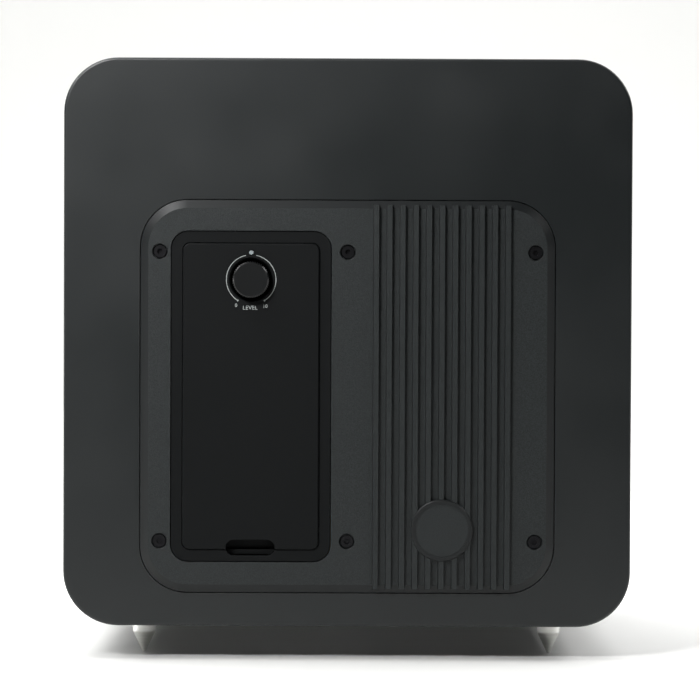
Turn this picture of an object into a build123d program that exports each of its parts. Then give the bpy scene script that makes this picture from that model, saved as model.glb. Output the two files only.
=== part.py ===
from build123d import *
import os
from math import radians, tan

# Powered subwoofer, millimetres, +Z up, front (grille) towards -Y, amplifier plate towards +Y.
# The origin is on the floor under the middle of the whole outline.

# Cabinet
cabinet_width = 300.0
cabinet_height = 300.0
cabinet_depth = 300.0
corner_radius = 29.0
wrap_wall = 15.0
board_thickness = 18.0
edge_round = 1.5
brace_thickness = 12.0
brace_setback = 172.0
brace_band = 28.0

# Spikes and their flanged inserts
spike_inset = 40.7
spike_cone_height = 11.2
spike_collar_height = 4.4
spike_collar_diameter = 12.3
spike_tip_radius = 0.8
spike_stud_diameter = 6.0
spike_stud_length = 13.0
spike_gap = 0.4
insert_flange_diameter = 14.0
insert_flange_thickness = 2.0
insert_barrel_diameter = 10.0
insert_barrel_length = 12.5

# Clearances
glue_gap = 0.05
running_gap = 0.1
panel_gap = 0.4
cover_gap = 0.3

# Amplifier plate, seen from behind: local x runs to the viewer's right, local y up
plate_width = 218.5
plate_height = 207.0
plate_corner = 25.0
plate_floor_margin = 18.0
plate_flange = 3.0
plate_rise = 3.0
bevel_width = 4.2
seal_thickness = 1.0
seal_width = 6.0
rebate_gap = 0.5
plate_screw_x = 99.0
plate_screw_y = 76.3
counterbore_diameter = 7.7
counterbore_depth = 3.2
plate_screw_head = 6.6
plate_screw_shank = 3.4
plate_screw_length = 16.0
rib_count = 11
rib_pitch = 6.94
rib_first_x = 15.0
rib_base_width = 3.6
rib_top_width = 2.8
rib_height = 2.75
rib_end_margin = 2.4
badge_radius = 16.3
badge_x = 50.0
badge_y = -70.1
badge_stand = 0.7

# Connection bay
bay_x = -50.9
bezel_width = 84.0
bezel_height = 174.0
bezel_corner = 9.0
bezel_drop = 0.8
cover_width = 72.0
cover_height = 161.5
cover_corner = 4.0
cover_panel = 3.0
cover_skirt_depth = 8.0
cover_skirt_wall = 2.0
cover_stand = 0.8
bay_depth = 42.0
tray_wall = 2.5
tray_ear_width = 14.0
tray_ear_reach = 8.0
tray_ear_thickness = 3.0
tray_ear_x = 26.0
notch_width = 26.0
notch_height = 8.5
notch_y = -79.75
notch_scoop = 6.0
ledge_width = 30.0
ledge_height = 6.5
ledge_setback = 10.0
magnet_diameter = 6.0
magnet_thickness = 2.0
magnet_post = 9.0

# Controls in the bay, heights from the plate's centre
level_y = 61.6
level_hole_diameter = 22.0
level_knob_diameter = 19.2
level_knob_stand = 8.0
level_knob_length = 18.0
level_serrations = 48
level_serration_radius = 0.42
shaft_diameter = 6.0
turret_diameter = 13.0
light_y = 75.9
light_diameter = 2.2
light_hole_diameter = 3.0
crossover_x = -18.0
crossover_y = 24.0
crossover_diameter = 14.0
crossover_length = 12.0
phase_x = 18.0
phase_y = 24.0
phase_travel = 3.0
line_pitch = 20.0
line_y = -6.0
line_radius = 4.15
line_bore = 3.5
line_length = 9.0
line_contact_radius = 1.6
rocker_x = -20.0
inlet_x = 13.0
mains_y = -46.0
inlet_width = 27.0
inlet_height = 20.0
inlet_depth = 18.0
plug_half_width = 12.2
plug_half_height = 8.4
plug_chamfer = 4.4
inlet_flange = 2.5
input_board_gap = 11.0
board_sheet = 1.6

# Power board behind the ribs
power_board_width = 76.0
power_board_height = 150.0
power_board_gap = 12.0
board_screw_diameter = 2.9
board_screw_head = 5.6
board_screw_length = 8.0
boss_diameter = 7.0
capacitor_diameter = 25.0
capacitor_height = 40.0

# Transformer on the cabinet floor
toroid_diameter = 88.0
toroid_height = 38.0
toroid_bore = 26.0
toroid_setback = 112.0
toroid_bolt = 6.0

# Woofer: radii and depths from the baffle's face, along +Y
frame_radius = 110.0
flange_depth = 5.0
gasket_thickness = 1.0
cutout_radius = 93.5
driver_gap = 0.5
driver_screw_circle = 104.0
driver_screw_count = 8
driver_screw_diameter = 4.8
top_plate_depth = 72.0
top_plate_thickness = 8.0
magnet_ring_thickness = 20.0
yoke_plate_thickness = 8.0
motor_radius = 60.0
basket_hub_radius = 36.0
basket_cup_radius = 54.0
basket_wall = 3.0
spider_ledge_radius = 63.0
basket_skirt_radius = 90.0
basket_skirt_depth = 8.0
roll_land_radius = 98.0
roll_land_depth = 2.0
window_outer_radius = 86.0
window_inner_radius = 69.5
basket_arm_circle = 76.0
basket_arm_count = 6
basket_arm_width = 17.0
basket_arm_length = 30.0
driver_head_height = 2.8
driver_socket = 1.7
yoke_vent_radius = 8.0
roll_sheet = 0.9
roll_gap = 1.0
roll_foot_radius = 97.8
roll_lip_radius = 73.0
ferrite_radius = 66.0
ferrite_bore = 32.0
pole_radius = 24.2
former_radius = 25.0
former_wall = 0.3
winding_thickness = 1.4
gap_radius = 27.2
spider_depth = 55.0
spider_radius = 62.0

# Grille
grille_gap = 0.5
grille_thickness = 12.0
grille_inset = 1.0
grille_opening_radius = 113.0
cloth_thickness = 0.8
grille_magnet_diameter = 10.0
grille_magnet_thickness = 3.0
grille_magnet_offset = 120.0

# Speaker leads
lead_diameter = 2.6

# Places worked out from the sizes above
spike_height = spike_cone_height + spike_collar_height
cabinet_bottom = spike_height + spike_gap + insert_flange_thickness
cabinet_z = cabinet_bottom + cabinet_height / 2
plate_z = cabinet_bottom + plate_floor_margin + plate_height / 2
front_reach = grille_gap + grille_thickness + cloth_thickness
rear_reach = plate_rise + level_knob_stand
front_y = front_reach - (front_reach + cabinet_depth + rear_reach) / 2
back_y = front_y + cabinet_depth
face_y = back_y + plate_rise
plate_back_y = back_y - plate_flange
rebate_y = plate_back_y - seal_thickness
board_inner_y = back_y - board_thickness
bay_floor_y = face_y - bay_depth
input_board_y = bay_floor_y - tray_wall - input_board_gap
power_board_y = plate_back_y - power_board_gap
inner_floor_z = cabinet_bottom + wrap_wall
window_half_height = plate_height / 2 - 7.5
os.makedirs("parts", exist_ok=True)


def rear_plane(y, z=plate_z):
    return Plane(origin=(0, y, z), x_dir=(-1, 0, 0), z_dir=(0, 1, 0))


def driver_plane(depth):
    return rear_plane(front_y + depth, cabinet_z)


def save(piece, name):
    piece.part.label = name
    export_step(piece.part, f"parts/{name}.step")


def tube_path(points):
    vectors = [Vector(*p) for p in points]
    radii = []
    for before, here, after in zip(vectors, vectors[1:], vectors[2:]):
        shorter = min((here - before).length, (after - here).length)
        turn = radians((here - before).get_angle(after - here))
        radii.append(0.45 * shorter / tan(turn / 2))
    print("lead radii", [round(r, 1) for r in radii])
    return radii


driver_axis = Axis((0, 0, cabinet_z), (0, 1, 0))
driver_section = Plane(origin=(0, front_y, cabinet_z), x_dir=(1, 0, 0), z_dir=(0, 0, 1))

# ---------------------------------------------------------------- cabinet
with BuildPart() as cabinet_wrap:
    with BuildSketch(rear_plane(front_y + board_thickness, cabinet_z)):
        RectangleRounded(cabinet_width, cabinet_height, corner_radius)
        RectangleRounded(cabinet_width - 2 * wrap_wall, cabinet_height - 2 * wrap_wall,
                         corner_radius - wrap_wall, mode=Mode.SUBTRACT)
    extrude(amount=cabinet_depth - 2 * board_thickness)
    # holes for the insert barrels, from below
    with BuildSketch(Plane.XY.offset(cabinet_bottom)):
        for spike_y in (front_y + spike_inset, back_y - spike_inset):
            with Locations((cabinet_width / 2 - spike_inset, spike_y),
                           (spike_inset - cabinet_width / 2, spike_y)):
                Circle(insert_barrel_diameter / 2 + glue_gap)
    extrude(amount=insert_barrel_length + glue_gap, mode=Mode.SUBTRACT)
    # pilot hole for the transformer's bolt
    with BuildSketch(Plane.XY.offset(inner_floor_z)):
        with Locations((0, back_y - toroid_setback)):
            Circle(toroid_bolt / 2 + glue_gap)
    extrude(amount=-wrap_wall * 0.7, mode=Mode.SUBTRACT)
save(cabinet_wrap, "cabinet_wrap")

with BuildPart() as front_baffle:
    with BuildSketch(rear_plane(front_y, cabinet_z)):
        RectangleRounded(cabinet_width, cabinet_height, corner_radius)
    extrude(amount=board_thickness)
    fillet(front_baffle.faces().sort_by(Axis.Y)[0].edges(), edge_round)
    with BuildSketch(driver_plane(0)):
        Circle(frame_radius + driver_gap)
    extrude(amount=flange_depth + gasket_thickness, mode=Mode.SUBTRACT)
    with BuildSketch(driver_plane(0)):
        Circle(cutout_radius)
    extrude(amount=board_thickness, mode=Mode.SUBTRACT)
    with BuildSketch(driver_plane(flange_depth + gasket_thickness)):
        with PolarLocations(driver_screw_circle, driver_screw_count, start_angle=22.5):
            Circle(driver_screw_diameter / 2 + glue_gap)
    extrude(amount=board_thickness, mode=Mode.SUBTRACT)
    with BuildSketch(driver_plane(0)):
        with GridLocations(2 * grille_magnet_offset, 2 * grille_magnet_offset, 2, 2):
            Circle(grille_magnet_diameter / 2 + glue_gap)
    extrude(amount=grille_magnet_thickness, mode=Mode.SUBTRACT)
save(front_baffle, "front_baffle")

bay_window_width = bezel_width + 2.4
cell_centre = abs(bay_x)
with BuildPart() as rear_board:
    with BuildSketch(rear_plane(board_inner_y, cabinet_z)):
        RectangleRounded(cabinet_width, cabinet_height, corner_radius)
    extrude(amount=board_thickness)
    fillet(rear_board.faces().sort_by(Axis.Y)[-1].edges(), edge_round)
    with BuildSketch(rear_plane(back_y)):
        RectangleRounded(plate_width + 2 * rebate_gap, plate_height + 2 * rebate_gap,
                         plate_corner + rebate_gap)
    extrude(amount=-(plate_flange + seal_thickness), mode=Mode.SUBTRACT)
    with BuildSketch(rear_plane(back_y)):
        with Locations((-cell_centre, 0), (cell_centre, 0)):
            RectangleRounded(bay_window_width, 2 * window_half_height, bezel_corner)
    extrude(amount=-board_thickness, mode=Mode.SUBTRACT)
    with BuildSketch(rear_plane(rebate_y)):
        with GridLocations(plate_screw_x, 2 * plate_screw_y, 3, 2):
            Circle(plate_screw_shank / 2 + glue_gap)
    extrude(amount=-(board_thickness - plate_flange - seal_thickness), mode=Mode.SUBTRACT)
save(rear_board, "rear_board")

brace_width = cabinet_width - 2 * wrap_wall - 2 * glue_gap
brace_height = cabinet_height - 2 * wrap_wall - 2 * glue_gap
with BuildPart() as window_brace:
    with BuildSketch(rear_plane(back_y - brace_setback, cabinet_z)):
        RectangleRounded(brace_width, brace_height, corner_radius - wrap_wall)
        RectangleRounded(brace_width - 2 * brace_band, brace_height - 2 * brace_band,
                         corner_radius, mode=Mode.SUBTRACT)
    extrude(amount=brace_thickness)
save(window_brace, "window_brace")

with BuildPart() as spike_inserts:
    for spike_y in (front_y + spike_inset, back_y - spike_inset):
        for side in (-1, 1):
            spike_x = side * (cabinet_width / 2 - spike_inset)
            with BuildSketch(Plane.XY.offset(cabinet_bottom - insert_flange_thickness)):
                with Locations((spike_x, spike_y)):
                    Circle(insert_flange_diameter / 2)
            extrude(amount=insert_flange_thickness)
            with BuildSketch(Plane.XY.offset(cabinet_bottom)):
                with Locations((spike_x, spike_y)):
                    Circle(insert_barrel_diameter / 2)
            extrude(amount=insert_barrel_length)
            with BuildSketch(Plane.XY.offset(cabinet_bottom - insert_flange_thickness)):
                with Locations((spike_x, spike_y)):
                    Circle(spike_stud_diameter / 2 + running_gap)
            extrude(amount=insert_flange_thickness + insert_barrel_length - 1, mode=Mode.SUBTRACT)
save(spike_inserts, "spike_inserts")

for depth_name, spike_y in (("front", front_y + spike_inset), ("rear", back_y - spike_inset)):
    for side_name, side in (("left", -1), ("right", 1)):
        spike_x = side * (cabinet_width / 2 - spike_inset)
        stud_top = spike_height + spike_stud_length
        with BuildPart() as spike:
            with BuildSketch(Plane(origin=(spike_x, spike_y, 0), x_dir=(1, 0, 0), z_dir=(0, -1, 0))):
                with BuildLine():
                    Polyline((0, 0), (spike_tip_radius, 0),
                             (spike_collar_diameter / 2, spike_cone_height),
                             (spike_collar_diameter / 2, spike_height),
                             (spike_stud_diameter / 2, spike_height),
                             (spike_stud_diameter / 2, stud_top), (0, stud_top), close=True)
                make_face()
            revolve(axis=Axis((spike_x, spike_y, 0), (0, 0, 1)))
        save(spike, f"spike_{depth_name}_{side_name}")

# ---------------------------------------------------------------- woofer
with BuildPart() as driver_basket:
    with BuildSketch(driver_section):
        with BuildLine():
            Polyline((basket_hub_radius, top_plate_depth - basket_wall),
                     (basket_cup_radius, top_plate_depth - basket_wall),
                     (basket_cup_radius, spider_depth), (spider_ledge_radius, spider_depth),
                     (basket_skirt_radius, basket_skirt_depth),
                     (basket_skirt_radius, roll_land_depth), (roll_land_radius, roll_land_depth),
                     (roll_land_radius, 0), (frame_radius, 0), (frame_radius, flange_depth),
                     (basket_skirt_radius + basket_wall, flange_depth),
                     (basket_skirt_radius + basket_wall, basket_skirt_depth + 1),
                     (spider_ledge_radius + basket_wall, spider_depth + 2),
                     (basket_cup_radius + basket_wall, spider_depth + 5),
                     (basket_cup_radius + basket_wall, top_plate_depth),
                     (basket_hub_radius, top_plate_depth), close=True)
        make_face()
    revolve(axis=driver_axis)
    with BuildSketch(driver_plane(10)):
        Circle(window_outer_radius)
        Circle(window_inner_radius, mode=Mode.SUBTRACT)
        with PolarLocations(basket_arm_circle, basket_arm_count, start_angle=30):
            Rectangle(basket_arm_length, basket_arm_width, mode=Mode.SUBTRACT)
    extrude(amount=spider_depth - basket_skirt_depth, mode=Mode.SUBTRACT)
    with BuildSketch(driver_plane(0)):
        with PolarLocations(driver_screw_circle, driver_screw_count, start_angle=22.5):
            Circle(driver_screw_diameter / 2 + running_gap)
    extrude(amount=flange_depth, mode=Mode.SUBTRACT)
save(driver_basket, "driver_basket")

with BuildPart() as driver_gasket:
    with BuildSketch(driver_plane(flange_depth)):
        Circle(frame_radius)
        Circle(cutout_radius + driver_gap, mode=Mode.SUBTRACT)
        with PolarLocations(driver_screw_circle, driver_screw_count, start_angle=22.5):
            Circle(driver_screw_diameter / 2 + running_gap, mode=Mode.SUBTRACT)
    extrude(amount=gasket_thickness)
save(driver_gasket, "driver_gasket")

with BuildPart() as driver_screws:
    with BuildSketch(driver_plane(0)):
        with PolarLocations(driver_screw_circle, driver_screw_count, start_angle=22.5):
            Circle(driver_screw_diameter * 0.95)
    extrude(amount=-driver_head_height)
    with BuildSketch(driver_plane(0)):
        with PolarLocations(driver_screw_circle, driver_screw_count, start_angle=22.5):
            Circle(driver_screw_diameter / 2)
    extrude(amount=board_thickness)
    with BuildSketch(driver_plane(-driver_head_height)):
        with PolarLocations(driver_screw_circle, driver_screw_count, start_angle=22.5):
            RegularPolygon(driver_socket, 6)
    extrude(amount=2, mode=Mode.SUBTRACT)
save(driver_screws, "driver_screws")

magnet_depth = top_plate_depth + top_plate_thickness
yoke_depth = magnet_depth + magnet_ring_thickness
motor_end = yoke_depth + yoke_plate_thickness
for ring_name, start, thickness, outer, inner in (
        ("magnet_top_plate", top_plate_depth, top_plate_thickness, motor_radius, gap_radius),
        ("magnet_ring", magnet_depth, magnet_ring_thickness, ferrite_radius, ferrite_bore)):
    with BuildPart() as ring:
        with BuildSketch(driver_plane(start)):
            Circle(outer)
            Circle(inner, mode=Mode.SUBTRACT)
        extrude(amount=thickness)
        chamfer(ring.edges().filter_by(GeomType.CIRCLE).group_by(SortBy.RADIUS)[-1], 1)
    save(ring, ring_name)

with BuildPart() as magnet_yoke:
    with BuildSketch(driver_section):
        with BuildLine():
            Polyline((yoke_vent_radius, top_plate_depth), (pole_radius, top_plate_depth),
                     (pole_radius, yoke_depth), (motor_radius, yoke_depth),
                     (motor_radius, motor_end - 2),
                     (motor_radius - 2, motor_end), (yoke_vent_radius, motor_end), close=True)
        make_face()
    revolve(axis=driver_axis)
save(magnet_yoke, "magnet_yoke")

# The roll is a half circle between the cone's lip and the basket's land.
roll_inner = 79.0
roll_outer = 90.0
roll_middle = (roll_inner + roll_outer) / 2
roll_radius = (roll_outer - roll_inner) / 2
roll_back = roll_gap + roll_sheet
with BuildPart() as surround:
    with BuildSketch(driver_section):
        with BuildLine():
            Polyline((roll_outer, roll_gap), (roll_foot_radius, roll_gap),
                     (roll_foot_radius, roll_back), (roll_outer - roll_sheet, roll_back))
            ThreePointArc((roll_outer - roll_sheet, roll_back),
                          (roll_middle, roll_back - roll_radius + roll_sheet),
                          (roll_inner + roll_sheet, roll_back))
            Polyline((roll_inner + roll_sheet, roll_back), (roll_lip_radius, roll_back),
                     (roll_lip_radius, roll_gap), (roll_inner, roll_gap))
            ThreePointArc((roll_inner, roll_gap), (roll_middle, roll_gap - roll_radius),
                          (roll_outer, roll_gap))
        make_face()
    revolve(axis=driver_axis)
save(surround, "surround")

cone_neck = former_radius + glue_gap
cone_neck_depth = 38.0
cone_lip_radius = 74.0
cone_lip_depth = 2.0
with BuildPart() as cone:
    with BuildSketch(driver_section):
        with BuildLine():
            Polyline((cone_neck, cone_neck_depth), (cone_lip_radius, cone_lip_depth),
                     (roll_inner, cone_lip_depth), (roll_inner, cone_lip_depth + 1.2),
                     (cone_lip_radius + 0.6, cone_lip_depth + 1.2),
                     (cone_neck + 1, cone_neck_depth + 2.2), (cone_neck, cone_neck_depth + 2.2),
                     close=True)
        make_face()
    revolve(axis=driver_axis)
save(cone, "cone")

# The dust cap is a spherical shell whose rim lies just above the cone.
cap_radius = 34.0
cap_height = 9.0
cap_wall = 0.8
cone_slope = (cone_neck_depth - cone_lip_depth) / (cone_lip_radius - cone_neck)
cap_rim_depth = cone_lip_depth + (cone_lip_radius - cap_radius) * cone_slope - 0.2
cap_sphere = (cap_radius ** 2 + cap_height ** 2) / (2 * cap_height)
with BuildPart() as dust_cap:
    with Locations((0, front_y + cap_rim_depth - cap_height + cap_sphere, cabinet_z)):
        Sphere(cap_sphere)
        Sphere(cap_sphere - cap_wall, mode=Mode.SUBTRACT)
    split(bisect_by=rear_plane(front_y + cap_rim_depth, cabinet_z), keep=Keep.BOTTOM)
save(dust_cap, "dust_cap")

for tube_name, start, length, outer, inner in (
        ("voice_coil_former", 36, 54, former_radius, former_radius - former_wall),
        ("voice_coil_winding", 66, 20, former_radius + winding_thickness, former_radius + glue_gap)):
    with BuildPart() as coil:
        with BuildSketch(driver_plane(start)):
            Circle(outer)
            Circle(inner, mode=Mode.SUBTRACT)
        extrude(amount=length)
    save(coil, tube_name)

# Corrugated centring disc, glued on the basket's ledge and round the former.
spider_points = [(cone_neck, spider_depth - 0.8)]
for fold in range(9):
    spider_points.append((29 + 3 * fold, spider_depth - (2.6 if fold % 2 else 0.8)))
spider_points.append((spider_radius, spider_depth - 0.8))
with BuildPart() as spider:
    with BuildSketch(driver_section):
        with BuildLine():
            Polyline(spider_points + [(r, d + 0.7) for r, d in reversed(spider_points)], close=True)
        make_face()
    revolve(axis=driver_axis)
save(spider, "spider")

terminal_depth = top_plate_depth - 6
tag_x = 6.0
tag_top = cabinet_z + 76
with BuildPart() as driver_terminals:
    with Locations((0, front_y + terminal_depth, cabinet_z + 57.5 + 7)):
        Box(24, 2, 14)
    with Locations((-tag_x, front_y + terminal_depth, tag_top - 7),
                   (tag_x, front_y + terminal_depth, tag_top - 7)):
        Box(3, 0.8, 14)
save(driver_terminals, "driver_terminals")

# ---------------------------------------------------------------- grille
grille_back_y = front_y - grille_gap
grille_width = cabinet_width - 2 * grille_inset - 2 * cloth_thickness
grille_height = cabinet_height - 2 * grille_inset - 2 * cloth_thickness
grille_corner = corner_radius - grille_inset - cloth_thickness
with BuildPart() as grille_frame:
    with BuildSketch(rear_plane(grille_back_y, cabinet_z)):
        RectangleRounded(grille_width, grille_height, grille_corner)
        Circle(grille_opening_radius, mode=Mode.SUBTRACT)
    extrude(amount=-grille_thickness)
    with BuildSketch(rear_plane(grille_back_y, cabinet_z)):
        with GridLocations(2 * grille_magnet_offset, 2 * grille_magnet_offset, 2, 2):
            Circle(grille_magnet_diameter / 2 + glue_gap)
    extrude(amount=-grille_magnet_thickness, mode=Mode.SUBTRACT)
save(grille_frame, "grille_frame")

with BuildPart() as grille_cloth:
    with BuildSketch(rear_plane(grille_back_y, cabinet_z)):
        RectangleRounded(grille_width + 2 * cloth_thickness, grille_height + 2 * cloth_thickness,
                         grille_corner + cloth_thickness)
    extrude(amount=-(grille_thickness + cloth_thickness))
    with BuildSketch(rear_plane(grille_back_y, cabinet_z)):
        RectangleRounded(grille_width, grille_height, grille_corner)
    extrude(amount=-grille_thickness, mode=Mode.SUBTRACT)
save(grille_cloth, "grille_cloth")

for magnets_name, magnet_y in (("grille_magnets", grille_back_y - grille_magnet_thickness),
                               ("baffle_magnets", front_y)):
    with BuildPart() as magnets:
        with BuildSketch(rear_plane(magnet_y, cabinet_z)):
            with GridLocations(2 * grille_magnet_offset, 2 * grille_magnet_offset, 2, 2):
                Circle(grille_magnet_diameter / 2)
        extrude(amount=grille_magnet_thickness)
    save(magnets, magnets_name)

# ---------------------------------------------------------------- amplifier plate
rib_length = plate_height - 2 * rib_end_margin
tray_screw_y = bezel_height / 2 + tray_ear_reach / 2 + panel_gap
power_boss_x = power_board_width / 2 - 5
power_boss_y = power_board_height / 2 - 5
with BuildPart() as amp_plate:
    with BuildSketch(rear_plane(plate_back_y)):
        RectangleRounded(plate_width, plate_height, plate_corner)
    extrude(amount=plate_flange)
    # bevelled rim, by joining the outline at the rebate's edge to the smaller face outline
    with BuildSketch(rear_plane(back_y)):
        RectangleRounded(plate_width, plate_height, plate_corner)
    with BuildSketch(rear_plane(face_y)):
        RectangleRounded(plate_width - 2 * bevel_width, plate_height - 2 * bevel_width,
                         plate_corner - bevel_width)
    loft()
    # cooling ribs, standing on the face and on the bevel
    for rib in range(rib_count):
        rib_x = rib_first_x + rib * rib_pitch
        with BuildSketch(Plane(origin=(-rib_x, back_y + 1, plate_z - rib_length / 2),
                               x_dir=(-1, 0, 0), z_dir=(0, 0, -1))):
            with BuildLine():
                Polyline((-rib_base_width / 2, 0), (rib_base_width / 2, 0),
                         (rib_top_width / 2, plate_rise - 1 + rib_height),
                         (-rib_top_width / 2, plate_rise - 1 + rib_height), close=True)
            make_face()
        extrude(amount=-rib_length)
    # plain round boss at the foot of the ribs, with a shallow dish
    with BuildSketch(rear_plane(back_y)):
        with Locations((badge_x, badge_y)):
            Circle(badge_radius)
    extrude(amount=plate_rise + rib_height + badge_stand)
    badge_top = face_y + rib_height + badge_stand
    chamfer(amp_plate.edges().group_by(Axis.Y)[-1], 0.5)
    with BuildSketch(rear_plane(badge_top)):
        with Locations((badge_x, badge_y)):
            Circle(badge_radius - 2.2)
    extrude(amount=-0.6, mode=Mode.SUBTRACT)
    # opening for the bay's bezel
    with BuildSketch(rear_plane(plate_back_y)):
        with Locations((bay_x, 0)):
            RectangleRounded(bezel_width + 2 * panel_gap, bezel_height + 2 * panel_gap,
                             bezel_corner + panel_gap)
    extrude(amount=plate_flange + plate_rise, mode=Mode.SUBTRACT)
    # bosses for the power board
    with BuildSketch(rear_plane(plate_back_y)):
        with Locations((cell_centre, 0)):
            with GridLocations(2 * power_boss_x, 2 * power_boss_y, 2, 2):
                Circle(boss_diameter / 2)
    extrude(amount=-power_board_gap)
    with BuildSketch(rear_plane(power_board_y)):
        with Locations((cell_centre, 0)):
            with GridLocations(2 * power_boss_x, 2 * power_boss_y, 2, 2):
                Circle(board_screw_diameter / 2 + glue_gap)
    extrude(amount=board_screw_length, mode=Mode.SUBTRACT)
    # blind holes for the tray's screws
    with BuildSketch(rear_plane(plate_back_y)):
        with Locations((bay_x, 0)):
            with GridLocations(2 * tray_ear_x, 2 * tray_screw_y, 2, 2):
                Circle(board_screw_diameter / 2 + glue_gap)
    extrude(amount=plate_flange + 0.8, mode=Mode.SUBTRACT)
    # plate screw holes with sunk heads and a small lead-in
    with BuildSketch(rear_plane(plate_back_y)):
        with GridLocations(plate_screw_x, 2 * plate_screw_y, 3, 2):
            Circle(plate_screw_shank / 2 + running_gap)
    extrude(amount=plate_flange + plate_rise, mode=Mode.SUBTRACT)
    with BuildSketch(rear_plane(face_y)):
        with GridLocations(plate_screw_x, 2 * plate_screw_y, 3, 2):
            Circle(counterbore_diameter / 2)
    extrude(amount=-counterbore_depth, mode=Mode.SUBTRACT)
    with BuildSketch(rear_plane(face_y)):
        with GridLocations(plate_screw_x, 2 * plate_screw_y, 3, 2):
            Circle(counterbore_diameter / 2 + 0.4)
    extrude(amount=-0.4, taper=45, mode=Mode.SUBTRACT)
save(amp_plate, "amp_plate")

with BuildPart() as amp_seal:
    with BuildSketch(rear_plane(rebate_y)):
        RectangleRounded(plate_width - 1, plate_height - 1, plate_corner)
        RectangleRounded(plate_width - 2 * seal_width, plate_height - 2 * seal_width,
                         plate_corner - seal_width, mode=Mode.SUBTRACT)
    extrude(amount=seal_thickness)
save(amp_seal, "amp_seal")

head_seat_y = face_y - counterbore_depth
head_height = counterbore_depth - 1.0
with BuildPart() as amp_plate_screws:
    with BuildSketch(rear_plane(head_seat_y)):
        with GridLocations(plate_screw_x, 2 * plate_screw_y, 3, 2):
            Circle(plate_screw_head / 2)
    extrude(amount=head_height)
    with BuildSketch(rear_plane(head_seat_y)):
        with GridLocations(plate_screw_x, 2 * plate_screw_y, 3, 2):
            Circle(plate_screw_shank / 2)
    extrude(amount=-plate_screw_length)
    with BuildSketch(rear_plane(head_seat_y + head_height)):
        with GridLocations(plate_screw_x, 2 * plate_screw_y, 3, 2):
            RegularPolygon(1.6, 6)
    extrude(amount=-1.6, mode=Mode.SUBTRACT)
save(amp_plate_screws, "amp_plate_screws")

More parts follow.
